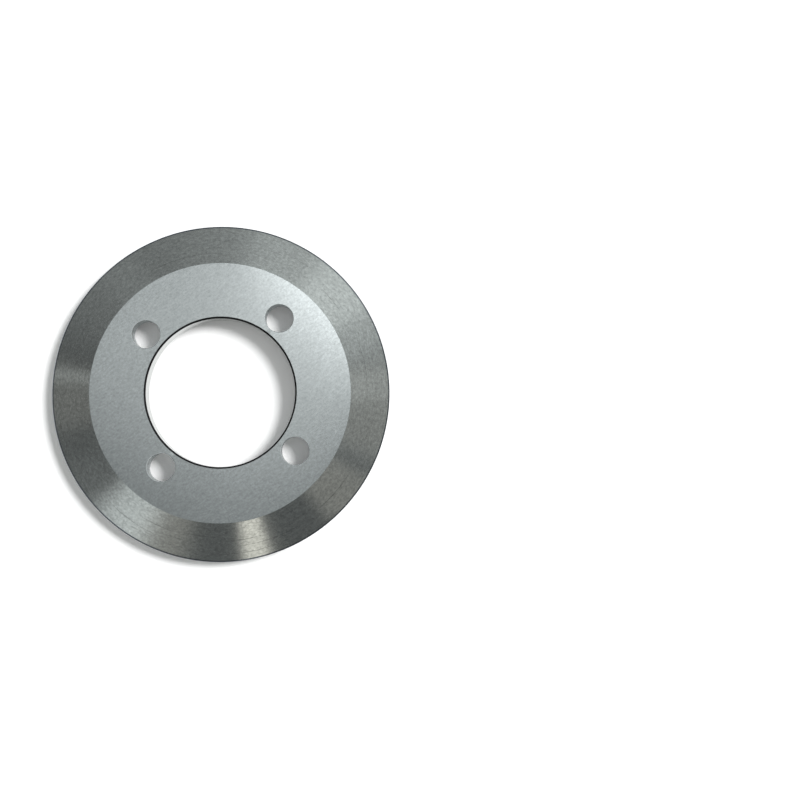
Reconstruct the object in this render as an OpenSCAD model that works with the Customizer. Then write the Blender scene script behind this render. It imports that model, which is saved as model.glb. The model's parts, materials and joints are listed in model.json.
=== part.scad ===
// Circular slitter knife: one turned, hardened and ground steel ring.
// It lies on its back face, with the bevelled front face up.
// The origin is on the axis, in the plane of the back face, and +Z runs along the axis to the front face.
// All sizes are in millimetres.

/* [Blade] */
// Diameter of the cutting edge, the largest diameter of the knife
edge_d = 100; // [97:0.5:112]
// Thickness from the back face to the front face
thickness = 8; // [7:0.25:14]
// Outer diameter of the flat front face, where the bevel begins
front_face_d = 77; // [72:0.5:92]
// Angle of the bevel to the front face
bevel_angle = 15; // [8:0.5:24]
// Outer diameter of the flat back face, where the back relief begins
back_face_d = 93.5; // [78:0.5:98]
// Height of the narrow cylindrical land that backs the cutting edge
edge_land = 0.3; // [0.1:0.05:1]
// Radial width of the narrow band that is honed along the cutting edge
hone_w = 0.25; // [0.1:0.05:0.6]
// Angle of the honed band to the front face, steeper than the bevel
hone_angle = 28; // [25:0.5:40]

/* [Bore] */
// Diameter of the bore that centres the knife on its holder
bore_d = 44; // [30:0.5:45]
// Leg of the chamfer at both mouths of the bore
bore_chamfer = 0.5; // [0.2:0.05:0.8]

/* [Bolt holes] */
// Number of bolt holes
bolt_count = 4; // [2:1:8]
// Diameter of the circle that the bolt holes are drilled on
bolt_circle_d = 56; // [55:0.5:58]
// Diameter of each bolt hole, a close clearance for an 8 mm bolt
bolt_hole_d = 8.4; // [4:0.1:9]
// Angle of the first bolt hole from +X
bolt_phase = 52; // [0:1:90]
// Leg of the broken edge at both mouths of a bolt hole
bolt_hole_chamfer = 0.1; // [0.05:0.05:0.3]

/* [Seat and relief groove] */
// Depth of the seat ring below the back face
seat_recess = 1.5; // [0.5:0.1:3]
// Outer diameter of the ground seat ring
seat_d = 61.2; // [56:0.2:64]
// Outer diameter of the relief groove, which is also the inner diameter of the back face
groove_d = 67; // [66:0.5:74]
// Depth of the relief groove below the seat ring
groove_depth = 1; // [0.6:0.1:3]
// Corner radius at the floor of the relief groove
groove_fillet = 0.5; // [0.2:0.05:0.55]

/* [Hidden] */
$fn = 180;

// Length by which a cutting tool runs past the surface that it cuts
run_out = 1;

edge_r = edge_d / 2;
front_r = front_face_d / 2;
back_r = back_face_d / 2;
bore_r = bore_d / 2;
bolt_r = bolt_hole_d / 2;
bolt_circle_r = bolt_circle_d / 2;
seat_r = seat_d / 2;
groove_r = groove_d / 2;

// Heights above the back face
hone_z = thickness - (edge_r - hone_w - front_r) * tan(bevel_angle);
edge_z = hone_z - hone_w * tan(hone_angle);
land_z = edge_z - edge_land;
groove_floor_z = seat_recess + groove_depth;

// Half section of the ring before the groove is cut, as [radius, height]
blank_section = [
    [bore_r, seat_recess + bore_chamfer],
    [bore_r + bore_chamfer, seat_recess],
    [groove_r, seat_recess],
    [groove_r, 0],
    [back_r, 0],
    [edge_r, land_z],
    [edge_r, edge_z],
    [edge_r - hone_w, hone_z],
    [front_r, thickness],
    [bore_r + bore_chamfer, thickness],
    [bore_r, thickness - bore_chamfer]
];

// Half section of the relief groove: straight walls and a flat floor with round corners
module groove_section() {
    mouth_z = seat_recess - run_out;
    corner_z = groove_floor_z - groove_fillet;
    translate([seat_r, mouth_z])
        square([groove_r - seat_r, corner_z - mouth_z]);
    translate([seat_r + groove_fillet, mouth_z])
        square([groove_r - seat_r - 2 * groove_fillet, groove_floor_z - mouth_z]);
    for (corner_r = [seat_r + groove_fillet, groove_r - groove_fillet])
        translate([corner_r, corner_z])
            circle(groove_fillet);
}

// Solid of revolution that the knife is turned to
module turned_ring() {
    rotate_extrude()
        difference() {
            polygon(blank_section);
            groove_section();
        }
}

// Drill for one bolt hole, which also breaks the edge at the seat ring and at the front face
module bolt_drill() {
    // The chamfering tool is a cone that runs past the face by the leg that it cuts
    tool_h = 2 * bolt_hole_chamfer;
    tool_r = bolt_r + tool_h;
    translate([0, 0, -run_out])
        cylinder(h = thickness + 2 * run_out, r = bolt_r);
    translate([0, 0, seat_recess - bolt_hole_chamfer])
        cylinder(h = tool_h, r1 = tool_r, r2 = bolt_r);
    translate([0, 0, thickness - bolt_hole_chamfer])
        cylinder(h = tool_h, r1 = bolt_r, r2 = tool_r);
}

// The knife: one piece, turned and then drilled
module slitter_knife() {
    color("silver")
        difference() {
            turned_ring();
            for (i = [0 : bolt_count - 1])
                rotate(bolt_phase + i * 360 / bolt_count)
                    translate([bolt_circle_r, 0, 0])
                        bolt_drill();
        }
}

slitter_knife();
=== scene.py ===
# %% [markdown]
# # A circular slitter knife
# A slitter knife is a steel ring that cuts paper, film or foil into strips as it turns. It is turned on a lathe,
# hardened, and then ground where it has to be true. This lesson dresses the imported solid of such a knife: it keeps
# the shape, and gives each ground, turned or raw surface the finish that its machine leaves behind.

# %% Load the frame
import json
import math

import bmesh
import bpy
import numpy as np
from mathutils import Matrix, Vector


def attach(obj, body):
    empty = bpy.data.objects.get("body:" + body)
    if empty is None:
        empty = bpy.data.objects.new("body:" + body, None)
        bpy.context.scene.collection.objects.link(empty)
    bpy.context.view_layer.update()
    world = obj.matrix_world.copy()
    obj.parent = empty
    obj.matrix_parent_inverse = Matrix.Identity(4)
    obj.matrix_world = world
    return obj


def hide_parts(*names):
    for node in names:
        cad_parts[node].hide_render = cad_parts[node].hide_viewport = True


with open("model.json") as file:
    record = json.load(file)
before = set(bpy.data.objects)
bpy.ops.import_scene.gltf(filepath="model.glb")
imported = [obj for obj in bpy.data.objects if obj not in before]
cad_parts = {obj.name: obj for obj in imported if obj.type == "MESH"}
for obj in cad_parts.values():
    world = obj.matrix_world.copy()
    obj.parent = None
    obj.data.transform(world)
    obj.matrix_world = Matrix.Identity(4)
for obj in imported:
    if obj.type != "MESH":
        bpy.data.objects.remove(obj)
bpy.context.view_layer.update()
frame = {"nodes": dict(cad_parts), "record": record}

# %% [markdown]
# ## Reading the turned section
# The solid is round, so all of its shape is in one half section: a radius and a height for each corner. The corners
# could be typed in again, but then they would drift from the solid. They are measured on its vertices instead, and
# the bore, the bolt holes and the seat come from the record's mounts.

# %% Measure the section
MM = 0.001
TOUCH = 0.002 * MM

solid = frame["nodes"]["slitter_knife"]
corners = np.array([v.co for v in solid.data.vertices])
radii = np.hypot(corners[:, 0], corners[:, 1])
heights = corners[:, 2]
mounts = {m["name"]: m for m in frame["record"]["mounts"]}


def radii_at(height):
    """Radii of the solid's vertices at one height."""
    return radii[np.abs(heights - height) < TOUCH]


front_z = heights.max()
front_r = radii_at(front_z).max()
edge_r = radii.max()
edge_z = heights[radii > edge_r - TOUCH].max()
land_z = heights[radii > edge_r - TOUCH].min()
on_bevel = (heights > edge_z + TOUCH) & (radii > front_r + TOUCH)
hone_r = radii[on_bevel].max()
hone_z = heights[on_bevel].min()
back_r = radii_at(0).max()
groove_r = radii_at(0).min()
seat_z = mounts["seat_ring"]["pos_m"][2]
seat_r = radii_at(seat_z).max()
in_groove = (radii > seat_r) & (radii < groove_r) & (heights < front_z / 2)
groove_z = heights[in_groove].max()
groove_corner = groove_r - radii_at(groove_z).max()
print(f"edge {edge_r / MM:.2f} at {edge_z / MM:.2f}, hone {hone_r / MM:.2f} at {hone_z / MM:.2f} mm")
print(f"front {front_r / MM:.2f} at {front_z / MM:.2f}, back {back_r / MM:.2f} mm")
print(f"seat {seat_r / MM:.2f} at {seat_z / MM:.2f}, groove {groove_r / MM:.2f} to {groove_z / MM:.2f} mm")

# %% [markdown]
# The bolt holes' angle comes from their rims on the front face. Each rim is even round its hole, so the mean of the
# rims' directions, folded into one quarter turn, points at a hole's middle.

# %% Measure the bore and the bolt holes
bore_r = mounts["bore"]["dims"]["r_mm"] * MM
bore_chamfer = radii_at(front_z).min() - bore_r
bolt_r = mounts["bolt_holes"]["dims"]["hole_r_mm"] * MM
bolt_circle_r = mounts["bolt_holes"]["dims"]["pcd_mm"] * MM / 2
bolt_count = mounts["bolt_holes"]["dims"]["count"]

on_front = np.abs(heights - front_z) < TOUCH
on_rim = on_front & (radii > bore_r + bore_chamfer + TOUCH) & (radii < front_r - TOUCH)
rim_angles = np.arctan2(corners[on_rim, 1], corners[on_rim, 0])
bolt_phase = np.angle(np.exp(1j * bolt_count * rim_angles).mean()) / bolt_count
bolt_chamfer = radii[on_rim].max() - bolt_circle_r - bolt_r
print(f"bore {bore_r / MM:.2f} mm with a chamfer of {bore_chamfer / MM:.3f} mm")
print(f"{bolt_count} holes of {bolt_r / MM:.2f} mm from {math.degrees(bolt_phase):.1f} degrees")
print(f"hole chamfer {bolt_chamfer / MM:.3f} mm")

# %% [markdown]
# ## The half section, with broken edges
# No ground edge is a perfect line: a stone breaks it by a few hundredths of a millimetre, and that small round is
# what catches the light. Blender's Bevel modifier could add it, but the holes cut some edges and the modifier leaves
# slivers there. Rounding the corners of the section before it is turned is cleaner. Each row has the corner's radius
# and height, the size of its round, the finish of the round, and the finish of the surface that follows it.

# %% Section rows and finishes
FINISHES = ["front_face", "bevel", "honed_edge", "edge_land", "relief", "back_face", "groove", "seat_ring", "bore",
            "bore_chamfer", "bolt_hole", "broken_edge"]
STONED = 0.06 * MM
KEEN = 0.01 * MM
CRISP = 0.30 * MM
BLENDED = 1.2 * MM
ROUND_STEPS = 4

section_rows = [
    # The bore's chamfers carry a black that is painted shade: it stands in for the shaded wall of the bore.
    (bore_r, seat_z + bore_chamfer, STONED, "bore_chamfer", "bore_chamfer"),
    (bore_r + bore_chamfer, seat_z, STONED, "bore_chamfer", "seat_ring"),
    (seat_r, seat_z, STONED, "broken_edge", "groove"),
    (seat_r, groove_z, groove_corner, "groove", "groove"),
    (groove_r, groove_z, groove_corner, "groove", "groove"),
    (groove_r, 0.0, STONED, "broken_edge", "back_face"),
    (back_r, 0.0, STONED, "broken_edge", "relief"),
    (edge_r, land_z, KEEN, "edge_land", "edge_land"),
    # The hone and its rounds take the hone's painted shade, so the dark line runs a little onto the bevel.
    (edge_r, edge_z, KEEN, "honed_edge", "honed_edge"),
    (hone_r, hone_z, BLENDED, "honed_edge", "bevel"),
    (front_r, front_z, CRISP, "broken_edge", "front_face"),
    (bore_r + bore_chamfer, front_z, STONED, "bore_chamfer", "bore_chamfer"),
    (bore_r, front_z - bore_chamfer, STONED, "bore_chamfer", "bore"),
]


def rounded_section(rows):
    """Section points with each corner as a small arc, and the finish of each stretch from a point to the next."""
    points, finishes = [], []
    for i, (r, z, size, round_finish, next_finish) in enumerate(rows):
        corner = Vector((r, z))
        before = (Vector(rows[i - 1][:2]) - corner).normalized()
        after = (Vector(rows[(i + 1) % len(rows)][:2]) - corner).normalized()
        half = before.angle(after) / 2
        middle = corner + (before + after).normalized() * (size / math.sin(half))
        first = corner + before * (size / math.tan(half)) - middle
        last = corner + after * (size / math.tan(half)) - middle
        for step in range(ROUND_STEPS + 1):
            points.append(middle + first.slerp(last, step / ROUND_STEPS) * size)
            finishes.append(round_finish)
        finishes[-1] = next_finish
    return points, finishes


section, section_finishes = rounded_section(section_rows)
print(len(section), "points round the half section")

# %% [markdown]
# ## Turning the ring
# Blender can turn a section with the Screw modifier or with bmesh's spin. Here the rings of vertices are laid down
# directly, because then each band of faces can be told at once which finish it has. The count of steps is high
# enough for the edge to look round when the knife fills the picture.

# %% Turn a section about an axis
RING_STEPS = 360


def turn(mesh, points, finishes, steps, centre=(0.0, 0.0), capped=False):
    """Adds a section, as radius and height, turned about a vertical axis: a closed ring, or a rod with two caps."""
    angles = [2 * math.pi * k / steps for k in range(steps)]
    rings = [
        [mesh.verts.new((centre[0] + r * math.cos(a), centre[1] + r * math.sin(a), z)) for a in angles]
        for r, z in points
    ]
    for i in range(len(rings) - 1 if capped else len(rings)):
        low, high = rings[i], rings[(i + 1) % len(rings)]
        for k in range(steps):
            n = (k + 1) % steps
            face = mesh.faces.new((low[k], low[n], high[n], high[k]))
            face.material_index = FINISHES.index(finishes[i])
            face.smooth = True
    if capped:
        mesh.faces.new(rings[0])
        mesh.faces.new(rings[-1])


def finished_object(name, mesh):
    """A new object from a bmesh, with an empty material for each finish."""
    bmesh.ops.recalc_face_normals(mesh, faces=mesh.faces)
    data = bpy.data.meshes.new(name)
    mesh.to_mesh(data)
    mesh.free()
    for finish in FINISHES:
        data.materials.append(bpy.data.materials.get(finish) or bpy.data.materials.new(finish))
    made = bpy.data.objects.new(name, data)
    bpy.context.scene.collection.objects.link(made)
    return made


ring_mesh = bmesh.new()
turn(ring_mesh, section, section_finishes, RING_STEPS)
knife = finished_object("knife_ring", ring_mesh)
print("turned ring:", len(knife.data.polygons), "faces")

# %% [markdown]
# ## Drilling the bolt holes
# On the real ring the holes are drilled before hardening, and a countersink breaks both mouths. The drills are turned
# the same way as the ring, and one exact Boolean takes them all away. The Boolean keeps each face's finish, so the
# hole walls come out with the drills' own.

# %% Drill with a Boolean
HOLE_STEPS = 120
RUN_OUT = 2.0 * MM

mouth_r = bolt_r + bolt_chamfer
drill_rows = [
    (mouth_r, -RUN_OUT, "bolt_hole"),
    (mouth_r, seat_z, "broken_edge"),
    (bolt_r, seat_z + bolt_chamfer, "bolt_hole"),
    (bolt_r, front_z - bolt_chamfer, "broken_edge"),
    (mouth_r, front_z, "bolt_hole"),
    (mouth_r, front_z + RUN_OUT, "bolt_hole"),
]
drill_points = [row[:2] for row in drill_rows]
drill_finishes = [row[2] for row in drill_rows]

drill_mesh = bmesh.new()
for k in range(bolt_count):
    angle = bolt_phase + 2 * math.pi * k / bolt_count
    centre = (bolt_circle_r * math.cos(angle), bolt_circle_r * math.sin(angle))
    turn(drill_mesh, drill_points, drill_finishes, HOLE_STEPS, centre, capped=True)
drills = finished_object("drills", drill_mesh)

drilling = knife.modifiers.new("drilling", "BOOLEAN")
drilling.operation = "DIFFERENCE"
drilling.solver = "EXACT"
drilling.object = drills
drilled = bpy.data.meshes.new_from_object(knife.evaluated_get(bpy.context.evaluated_depsgraph_get()))
knife.modifiers.clear()
knife.data = drilled
bpy.data.objects.remove(drills)
print("drilled ring:", len(drilled.polygons), "faces,", len(drilled.vertices), "vertices")

# %% [markdown]
# Smooth shading bends the light across every edge, so two things keep the flats flat: edges that turn by more than a
# broken corner's step are marked sharp, and a Weighted Normal modifier lets the large faces decide the normals of the
# small rounds beside them.

# %% Keep the flats flat
SHARP_TURN = math.radians(30)
FLAT_WEIGHT = 100

drilled.set_sharp_from_angle(angle=SHARP_TURN)
flats = knife.modifiers.new("flats", "WEIGHTED_NORMAL")
flats.weight = FLAT_WEIGHT
flats.keep_sharp = True
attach(knife, "root")
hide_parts("slitter_knife")
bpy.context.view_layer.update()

# %% [markdown]
# ## A short way to write nodes
# A finish is a small tree of shader nodes. Adding each by hand takes four lines, so one helper adds a node, sets its
# options and fills its inputs. An input can be a number, a colour or the output of another node.

# %% Node helpers
def add(tree, kind, inputs=None, **options):
    """Adds a shader node to a tree. A value that is a socket is linked, and any other value is set."""
    made = tree.nodes.new("ShaderNode" + kind)
    for name, value in options.items():
        setattr(made, name, value)
    for name, value in (inputs or {}).items():
        if isinstance(value, bpy.types.NodeSocket):
            tree.links.new(value, made.inputs[name])
        else:
            made.inputs[name].default_value = value
    return made


def calc(tree, operation, a, b=0.0):
    """Output of a Math node."""
    return add(tree, "Math", {0: a, 1: b}, operation=operation).outputs[0]


def remap(tree, value, low, high, to_low, to_high, curve="LINEAR"):
    """Output of a Map Range node, clamped."""
    spans = {"Value": value, "From Min": low, "From Max": high, "To Min": to_low, "To Max": to_high}
    return add(tree, "MapRange", spans, interpolation_type=curve).outputs[0]


def new_group(name, inputs, outputs):
    """An empty shader node group with named sockets: (name, kind, default) in, (name, kind) out."""
    group = bpy.data.node_groups.new(name, "ShaderNodeTree")
    for socket, kind, value in inputs:
        group.interface.new_socket(socket, in_out="INPUT", socket_type="NodeSocket" + kind).default_value = value
    for socket, kind in outputs:
        group.interface.new_socket(socket, in_out="OUTPUT", socket_type="NodeSocket" + kind)
    return group, group.nodes.new("NodeGroupInput").outputs, group.nodes.new("NodeGroupOutput").inputs


def place(tree, group, inputs=None):
    """Puts a node group into a tree and gives its outputs."""
    return add(tree, "Group", inputs, node_tree=group).outputs


print("node helpers ready")

# %% [markdown]
# ## Grain that runs round the axis
# A grinding wheel or a lathe tool leaves fine lines that run round the axis. A noise texture in polar coordinates
# would show a seam where the angle jumps. Instead the direction from the axis goes in as a point on a circle, which
# has no seam, and the place along the section goes in as the third coordinate. A large circle makes short lines.

# %% Group: circular grain
PER_MM = 1 / MM
UNEVEN = 0.7

circular_grain, given, out = new_group(
    "circular_grain",
    [("Around", "Float", 200.0), ("Across", "Float", 6.0), ("Detail", "Float", 3.0)],
    [("Grain", "Float")],
)
where = add(circular_grain, "TexCoord").outputs["Object"]
flat = add(circular_grain, "VectorMath", {0: where, 1: (1.0, 1.0, 0.0)}, operation="MULTIPLY").outputs[0]
heading = add(circular_grain, "VectorMath", {0: flat}, operation="NORMALIZE").outputs[0]
radius = add(circular_grain, "VectorMath", {0: flat}, operation="LENGTH").outputs["Value"]
height = add(circular_grain, "SeparateXYZ", {0: where}).outputs["Z"]
along = calc(circular_grain, "MULTIPLY", calc(circular_grain, "ADD", radius, height), PER_MM)
lines = calc(circular_grain, "MULTIPLY", along, given["Across"])
circle = calc(circular_grain, "DIVIDE", given["Around"], 2 * math.pi)
on_circle = add(circular_grain, "VectorMath", {0: heading, "Scale": circle}, operation="SCALE").outputs[0]
line_point = add(circular_grain, "CombineXYZ", {"Z": lines}).outputs[0]
point = add(circular_grain, "VectorMath", {0: on_circle, 1: line_point}, operation="ADD").outputs[0]
noise = add(circular_grain, "TexNoise", {
    "Vector": point, "Scale": 1.0, "Detail": given["Detail"], "Roughness": UNEVEN,
})
circular_grain.links.new(noise.outputs[0], out["Grain"])
print("group:", circular_grain.name)

# %% [markdown]
# ## Grain that runs straight
# A surface grinder moves the work to and fro under its wheel, so its lines are straight. The same noise is stretched
# along one direction of the face.

# %% Group: straight grain
straight_grain, given, out = new_group(
    "straight_grain",
    [("Angle", "Float", 0.0), ("Along", "Float", 0.1), ("Across", "Float", 5.0), ("Detail", "Float", 3.0)],
    [("Grain", "Float")],
)
where = add(straight_grain, "TexCoord").outputs["Object"]
turned = add(straight_grain, "VectorRotate", {"Vector": where, "Angle": given["Angle"]}, rotation_type="Z_AXIS")
stretch = add(straight_grain, "CombineXYZ", {"X": given["Along"], "Y": given["Across"], "Z": given["Across"]})
drawn = add(straight_grain, "VectorMath", {0: turned.outputs[0], 1: stretch.outputs[0]}, operation="MULTIPLY")
noise = add(straight_grain, "TexNoise", {
    "Vector": drawn.outputs[0], "Scale": PER_MM, "Detail": given["Detail"], "Roughness": UNEVEN,
})
straight_grain.links.new(noise.outputs[0], out["Grain"])
print("group:", straight_grain.name)

# %% [markdown]
# ## The look of worked steel
# Bare steel is never one even grey. The machine's lines shade it, the carbides in a hardened tool steel fleck it, and
# handling leaves it a little duller in some places. This group takes the lines that a finish has and mixes those
# three into the colour, the roughness and a height for the bump.

# %% Group: worked steel
MIDDLE = 0.5
SPECK_DETAIL = 2.0

worked_steel, given, out = new_group(
    "worked_steel",
    [
        ("Colour", "Color", (0.56, 0.57, 0.58, 1.0)), ("Roughness", "Float", 0.3), ("Grain", "Float", MIDDLE),
        ("Grain Depth", "Float", 0.2), ("Fleck Size", "Float", 0.4), ("Fleck Depth", "Float", 0.1),
        ("Cloud Size", "Float", 25.0), ("Cloud Depth", "Float", 0.1), ("Dulling", "Float", 0.2),
    ],
    [("Colour", "Color"), ("Roughness", "Float"), ("Height", "Float")],
)
where = add(worked_steel, "TexCoord").outputs["Object"]


def noise_of_size(size):
    """Noise about nought with features of a size in millimetres."""
    scale = calc(worked_steel, "DIVIDE", PER_MM, size)
    noise = add(worked_steel, "TexNoise", {"Vector": where, "Scale": scale, "Detail": SPECK_DETAIL})
    return calc(worked_steel, "SUBTRACT", noise.outputs[0], MIDDLE)


line = calc(worked_steel, "MULTIPLY", calc(worked_steel, "SUBTRACT", given["Grain"], MIDDLE), given["Grain Depth"])
fleck = calc(worked_steel, "MULTIPLY", noise_of_size(given["Fleck Size"]), given["Fleck Depth"])
cloud = calc(worked_steel, "MULTIPLY", noise_of_size(given["Cloud Size"]), given["Cloud Depth"])
shade = calc(worked_steel, "ADD", calc(worked_steel, "ADD", line, fleck), cloud)
level = calc(worked_steel, "ADD", shade, 1.0)
tinted = add(worked_steel, "VectorMath", {0: given["Colour"], "Scale": level}, operation="SCALE").outputs[0]
dull = calc(worked_steel, "SUBTRACT", 1.0, calc(worked_steel, "MULTIPLY", shade, given["Dulling"]))
worked_steel.links.new(tinted, out["Colour"])
worked_steel.links.new(calc(worked_steel, "MULTIPLY", given["Roughness"], dull), out["Roughness"])
worked_steel.links.new(calc(worked_steel, "ADD", line, fleck), out["Height"])
print("group:", worked_steel.name)

# %% [markdown]
# ## Steel finishes
# Each finish is one Principled shader. Its metal is tool steel, a little cooler than mid grey. Lines that run round
# the axis spread a reflection across themselves, which is why a ground bevel shows bright and dark sectors: that is
# anisotropy, with a tangent that runs round the axis. A few longer lines are the marks of single grains of the wheel.

# %% Steel material
ACROSS_TANGENT = 0.25
SCRATCH_ARCS = {"Around": 12.0, "Across": 3.0, "Detail": 1.0}
SCRATCH_FROM = 0.68
SCRATCH_FULL = 0.76


def steel(name, look, grain, anisotropy=0.0, bump=0.0, scratches=0.0):
    """Fills one finish: lines from a grain group, the worked steel look, and one Principled shader."""
    material = bpy.data.materials[name]
    material.use_nodes = True
    tree = material.node_tree
    tree.nodes.clear()
    lines = place(tree, *grain)["Grain"]
    if scratches:
        arcs = place(tree, circular_grain, SCRATCH_ARCS)["Grain"]
        lines = calc(tree, "SUBTRACT", lines, remap(tree, arcs, SCRATCH_FROM, SCRATCH_FULL, 0.0, scratches))
    steel_out = place(tree, worked_steel, {"Grain": lines, **look})
    shader = add(tree, "BsdfPrincipled", {
        "Base Color": steel_out["Colour"], "Roughness": steel_out["Roughness"], "Metallic": 1.0,
    })
    if anisotropy:
        shader.inputs["Anisotropic"].default_value = anisotropy
        shader.inputs["Anisotropic Rotation"].default_value = ACROSS_TANGENT
        around = add(tree, "Tangent", direction_type="RADIAL", axis="Z")
        tree.links.new(around.outputs[0], shader.inputs["Tangent"])
    if bump:
        relief = add(tree, "Bump", {"Height": steel_out["Height"], "Strength": 1.0, "Distance": bump})
        tree.links.new(relief.outputs[0], shader.inputs["Normal"])
    add(tree, "OutputMaterial", {"Surface": shader.outputs[0]})
    print("finish:", name)


print("steel material ready")

# %% [markdown]
# Two greys do for all the bright steel: a cool one for the finest face, and a neutral one for what the wheel has
# ground. The honed band gets a much darker colour: painted shade, which stands in for the dark of the room mirrored
# in that narrow band.

# %% Steel colours
STEEL = (0.538, 0.580, 0.583, 1.0)
GROUND_STEEL = (0.550, 0.565, 0.552, 1.0)
# Painted shade: a dark steel colour for the honed band, so that it reads as a thin dark line.
PAINTED_SHADE_HONE_STEEL = (0.11, 0.125, 0.15, 1.0)
print("steel colours:", STEEL[:3], GROUND_STEEL[:3], PAINTED_SHADE_HONE_STEEL[:3])

# %% [markdown]
# The front face is finished flat and satin. Its marks cross each other, so the shine has no direction, and the grain
# is a fine even fleck.

# %% Front face
steel(
    "front_face",
    {"Colour": STEEL, "Roughness": 0.15, "Grain Depth": 0.5, "Fleck Size": 0.6, "Fleck Depth": 0.42,
     "Cloud Size": 18.0, "Cloud Depth": 0.15},
    (straight_grain, {"Angle": math.radians(-35), "Along": 0.6, "Across": 1.6}),
)

# %% [markdown]
# The bevel is ground by a cup wheel while the knife turns, so its lines run round the axis and it shows sharp bright
# and dark sectors. A stone then hones a narrow band along the edge, which tilts away from the light; its thin dark
# line is painted shade, a dark colour given to that band. The relief behind the edge is ground the same way as the
# bevel.

# %% Bevel, hone, land and relief
steel(
    "bevel",
    {"Colour": GROUND_STEEL, "Roughness": 0.16, "Grain Depth": 1.15, "Fleck Size": 0.7, "Fleck Depth": 0.36,
     "Cloud Size": 12.0, "Cloud Depth": 0.15},
    (circular_grain, {"Around": 260.0, "Across": 2.3}),
    anisotropy=0.95,
    scratches=0.3,
)
# Painted shade: the hone's steel is given a dark colour so that it reads as a thin dark line.
steel(
    "honed_edge",
    {"Colour": PAINTED_SHADE_HONE_STEEL, "Roughness": 0.16, "Grain Depth": 0.3, "Fleck Size": 0.9, "Fleck Depth": 0.3},
    (circular_grain, {"Around": 150.0, "Across": 4.0}),
    anisotropy=0.9,
)
steel(
    "edge_land",
    {"Colour": GROUND_STEEL, "Roughness": 0.24, "Grain Depth": 0.4, "Fleck Depth": 0.2},
    (circular_grain, {"Around": 60.0, "Across": 8.0}),
    anisotropy=0.6,
)
steel(
    "relief",
    {"Colour": GROUND_STEEL, "Roughness": 0.22, "Grain Depth": 0.7, "Fleck Size": 0.9, "Fleck Depth": 0.6},
    (circular_grain, {"Around": 120.0, "Across": 2.0}),
    anisotropy=0.8,
)

# %% [markdown]
# The back face is ground flat on a surface grinder, and its lines are straight and fine. The seat ring is only turned,
# and the lathe's lines stay plain to see. The bore is ground bright, because it centres the knife, and the drill leaves
# the bolt holes a little rougher.

# %% Back face, seat ring, bore and holes
steel(
    "back_face",
    {"Colour": GROUND_STEEL, "Roughness": 0.28, "Grain Depth": 0.6, "Fleck Size": 0.6, "Fleck Depth": 0.4},
    (straight_grain, {"Angle": math.radians(35), "Along": 0.35, "Across": 1.6}),
)
steel(
    "seat_ring",
    {"Colour": GROUND_STEEL, "Roughness": 0.28, "Grain Depth": 1.6, "Fleck Size": 0.6, "Fleck Depth": 0.4},
    (circular_grain, {"Around": 14.0, "Across": 1.8}),
    anisotropy=0.7,
    bump=0.02 * MM,
)
steel(
    "bore",
    {"Colour": GROUND_STEEL, "Roughness": 0.18, "Grain Depth": 0.5, "Fleck Depth": 0.2},
    (circular_grain, {"Around": 60.0, "Across": 4.0}),
)
steel(
    "bolt_hole",
    {"Colour": STEEL, "Roughness": 0.35, "Grain Depth": 0.6, "Fleck Depth": 0.4},
    (circular_grain, {"Around": 60.0, "Across": 3.0}),
)
steel(
    "broken_edge",
    {"Colour": STEEL, "Roughness": 0.22, "Grain Depth": 0.3, "Fleck Depth": 0.3},
    (circular_grain, {"Around": 100.0, "Across": 4.0}),
)

# %% [markdown]
# ## Black scale and painted shade
# Hardening leaves a matt black scale. It is ground off where the knife has to be true, and it stays in the groove. The
# chamfers of the bore get the same black as painted shade, which stands in for the shaded wall of the bore and shows
# as a thin black ring. The black is an oxide colour, not a metal, and it has no shine.

# %% Groove and bore chamfers
SCALE_AND_PAINTED_SHADE_BLACK = (0.013, 0.013, 0.014, 1.0)

# Real black scale in the groove, and painted shade on the bore chamfers.
for name in ("groove", "bore_chamfer"):
    bpy.data.materials[name].use_nodes = True
    tree = bpy.data.materials[name].node_tree
    tree.nodes.clear()
    lines = place(tree, circular_grain, {"Around": 40.0, "Across": 2.0})["Grain"]
    scale_and_shade = place(tree, worked_steel, {
        "Colour": SCALE_AND_PAINTED_SHADE_BLACK, "Roughness": 0.7, "Grain": lines, "Grain Depth": 1.0, "Fleck Size": 0.5,
        "Fleck Depth": 1.0,
    })
    shader = add(tree, "BsdfPrincipled", {
        "Base Color": scale_and_shade["Colour"], "Roughness": scale_and_shade["Roughness"], "Specular IOR Level": 0.0,
    })
    add(tree, "OutputMaterial", {"Surface": shader.outputs[0]})
    print("finish:", name)

# %% [markdown]
# ## Floor
# The knife lies on a wide white table. The table is white paint, plus a little light of its own that only the camera
# and mirror-like surfaces see, so that it comes out white and still takes the knife's shadow.

# %% Table
TABLE_R = 4.0
TABLE_STEPS = 96
PAPER = (0.92, 0.92, 0.92, 1.0)
PAPER_GLOW = 0.11

table_mesh = bmesh.new()
bmesh.ops.create_circle(table_mesh, cap_ends=True, segments=TABLE_STEPS, radius=TABLE_R)
table_data = bpy.data.meshes.new("table")
table_mesh.to_mesh(table_data)
table_mesh.free()
table = bpy.data.objects.new("table", table_data)
bpy.context.scene.collection.objects.link(table)

paper = bpy.data.materials.new("white_paper")
paper.use_nodes = True
tree = paper.node_tree
tree.nodes.clear()
paint = add(tree, "BsdfDiffuse", {"Color": PAPER})
ray = add(tree, "LightPath").outputs
seen = calc(tree, "MAXIMUM", ray["Is Camera Ray"], ray["Is Glossy Ray"])
glow = add(tree, "Emission", {"Strength": calc(tree, "MULTIPLY", seen, PAPER_GLOW)})
both = add(tree, "AddShader", {0: paint.outputs[0], 1: glow.outputs[0]})
add(tree, "OutputMaterial", {"Surface": both.outputs[0]})
table_data.materials.append(paper)
print("table", TABLE_R, "m in radius")

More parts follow.
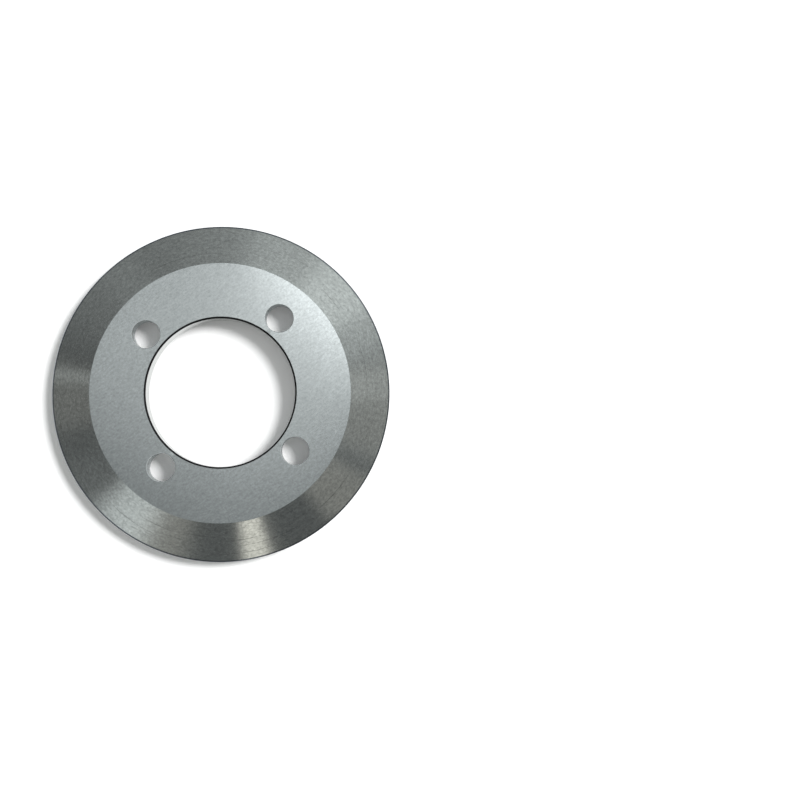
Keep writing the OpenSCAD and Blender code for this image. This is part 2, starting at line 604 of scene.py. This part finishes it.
# %% [markdown]
# ## Light
# Metal shows what is round it, so the room matters more than the lamps. A studio hangs white panels round a knife
# and leaves dark gaps between them. Each panel could be an area lamp, but a soft edge is easier on the world: a patch
# of direction there has a middle, a half width and a softness.

# %% Directions on the world
world = bpy.data.worlds.new("studio")
bpy.context.scene.world = world
world.use_nodes = True
tree = world.node_tree
tree.nodes.clear()
way = add(tree, "TexCoord").outputs["Generated"]
axes = add(tree, "SeparateXYZ", {0: way}).outputs
azimuth = calc(tree, "ARCTAN2", axes["Y"], axes["X"])
zenith = calc(tree, "ARCCOSINE", axes["Z"])


def patch(angle, half, soft, radiance):
    """Radiance within half an angle in degrees of a middle, with a soft edge."""
    share = calc(tree, "DIVIDE", calc(tree, "ABSOLUTE", angle), math.radians(half))
    return remap(tree, share, 1 - soft, 1 + soft, radiance, 0.0, "SMOOTHSTEP")


print("world:", world.name)

# %% [markdown]
# The bevel looks out sideways and mirrors a band of panels, some of them a little warmer than the room. Each panel
# is a range of azimuth, and one range of zenith cuts the band out of all of them.

# %% Panels for the bevel
COOL = (0.94, 1.00, 1.00)
WARM = (1.03, 1.00, 0.90)
BAND = (20, 54)
BAND_SOFT = 0.1
PANELS = [
    # azimuth of the middle and half width in degrees, softness, radiance, tint
    (53.5, 12.5, 0.5, 0.31, COOL),
    (58, 33, 0.22, 0.20, COOL),
    (60, 52, 0.4, 0.14, COOL),
    (62, 93, 0.12, 0.10, COOL),
    (134, 7, 0.5, 0.06, COOL),
    (359, 20.5, 0.3, 0.12, WARM),
    (10, 6, 0.5, 0.09, COOL),
    (317, 12, 0.38, 0.19, WARM),
    (272, 5, 0.22, 0.97, WARM),
    (221, 9.2, 0.6, 0.66, COOL),
    (236, 9, 0.6, 0.21, WARM),
    (204, 8, 0.8, 0.06, COOL),
    (176, 9.5, 0.4, 0.09, WARM),
    (169.5, 2, 0.4, 0.16, COOL),
]

rings = {COOL: 0.0, WARM: 0.0}
for middle, half, soft, radiance, tint in PANELS:
    away = calc(tree, "SUBTRACT", azimuth, math.radians(middle))
    off = add(tree, "Math", {0: away, 1: math.pi, 2: -math.pi}, operation="WRAP").outputs[0]
    rings[tint] = calc(tree, "ADD", patch(off, half, soft, radiance), rings[tint])
band_off = calc(tree, "SUBTRACT", zenith, math.radians(sum(BAND) / 2))
band = patch(band_off, (BAND[1] - BAND[0]) / 2, BAND_SOFT, 1.0)
print(len(PANELS), "panels from", BAND[0], "to", BAND[1], "degrees of zenith")

# %% [markdown]
# The flat front face looks up and mirrors the ceiling, which has three brighter lamps in it.

# %% Lamps on the ceiling
OVERHEAD = 0.15
OVERHEAD_HALF = 20
OVERHEAD_SOFT = 0.2
LAMPS = [
    # azimuth, zenith and half width in degrees, softness, radiance
    (120, 11.5, 10.2, 0.15, 0.41),
    (84, 11.5, 5.5, 0.40, 1.90),
    (200, 6, 4, 0.60, 0.08),
]

above = patch(zenith, OVERHEAD_HALF, OVERHEAD_SOFT, OVERHEAD)
for middle, tilt, half, soft, radiance in LAMPS:
    lean, turned = math.radians(tilt), math.radians(middle)
    lamp_way = (math.sin(lean) * math.cos(turned), math.sin(lean) * math.sin(turned), math.cos(lean))
    facing = add(tree, "VectorMath", {0: way, 1: lamp_way}, operation="DOT_PRODUCT").outputs["Value"]
    above = calc(tree, "ADD", patch(calc(tree, "ARCCOSINE", facing), half, soft, radiance), above)
print(len(LAMPS), "lamps on the ceiling")

# %% [markdown]
# The rest of the room is dim. Low down the metal mirrors the pale backdrop, so that the knife reads as bright steel
# from the side too. The camera itself sees plain white past the table.

# %% Room and backdrop
ROOM = (0.111, 0.119, 0.119)
WALLS = 0.90
WALLS_FROM = (54, 76)
WHITE = (1.0, 1.0, 1.0, 1.0)

ray = add(tree, "LightPath").outputs
pale = remap(tree, zenith, *(math.radians(edge) for edge in WALLS_FROM), 0.0, WALLS, "SMOOTHSTEP")
walls = calc(tree, "MULTIPLY", pale, ray["Is Glossy Ray"])
total = add(tree, "VectorMath", {0: calc(tree, "ADD", above, walls), 1: ROOM}, operation="ADD").outputs[0]
for tint, ring in rings.items():
    light = calc(tree, "MULTIPLY", ring, band)
    tinted = add(tree, "VectorMath", {0: tint, "Scale": light}, operation="SCALE").outputs[0]
    total = add(tree, "VectorMath", {0: total, 1: tinted}, operation="ADD").outputs[0]
studio = add(tree, "Background", {"Color": total})
backdrop = add(tree, "Background", {"Color": WHITE})
sky = add(tree, "MixShader", {"Fac": ray["Is Camera Ray"], 1: studio.outputs[0], 2: backdrop.outputs[0]})
add(tree, "OutputWorld", {"Surface": sky.outputs[0]})
print("walls paler from", WALLS_FROM[0], "degrees of zenith down")

# %% [markdown]
# The floor's shadow comes from one broad lamp at the upper right. It stays out of mirror reflections, because its
# image in the steel would hide the panels.

# %% Key lamp
KEY_AZIMUTH = math.radians(24)
KEY_ZENITH = math.radians(40)
KEY_SIZE = math.radians(20)
KEY_POWER = 3.3

key_data = bpy.data.lights.new("key", "SUN")
key_data.energy = KEY_POWER
key_data.angle = KEY_SIZE
key = bpy.data.objects.new("key", key_data)
key.rotation_euler = (0.0, KEY_ZENITH, KEY_AZIMUTH)
key.visible_glossy = False
bpy.context.scene.collection.objects.link(key)
print("key lamp from azimuth", round(math.degrees(KEY_AZIMUTH)), "degrees")

# %% [markdown]
# ## Camera
# The photographer stood almost straight above, a little to the right of this knife, so its bore shows a thin crescent
# of wall on the left.

# %% Camera
LENS_MM = 54.0
CAMERA_PLACE = (43.08 * MM, -23.20 * MM, 362.65 * MM)
CAMERA_TILT = (0.059, -0.028, 0.0)

camera_data = bpy.data.cameras.new("camera")
camera_data.lens = LENS_MM
camera_data.clip_start = 1.0 * MM
camera = bpy.data.objects.new("camera", camera_data)
camera.location = CAMERA_PLACE
camera.rotation_mode = "YXZ"
camera.rotation_euler = CAMERA_TILT
bpy.context.scene.collection.objects.link(camera)
bpy.context.scene.camera = camera
bpy.context.scene.view_settings.view_transform = "Standard"
print("camera", round(CAMERA_PLACE[2] / MM), "mm above the floor")
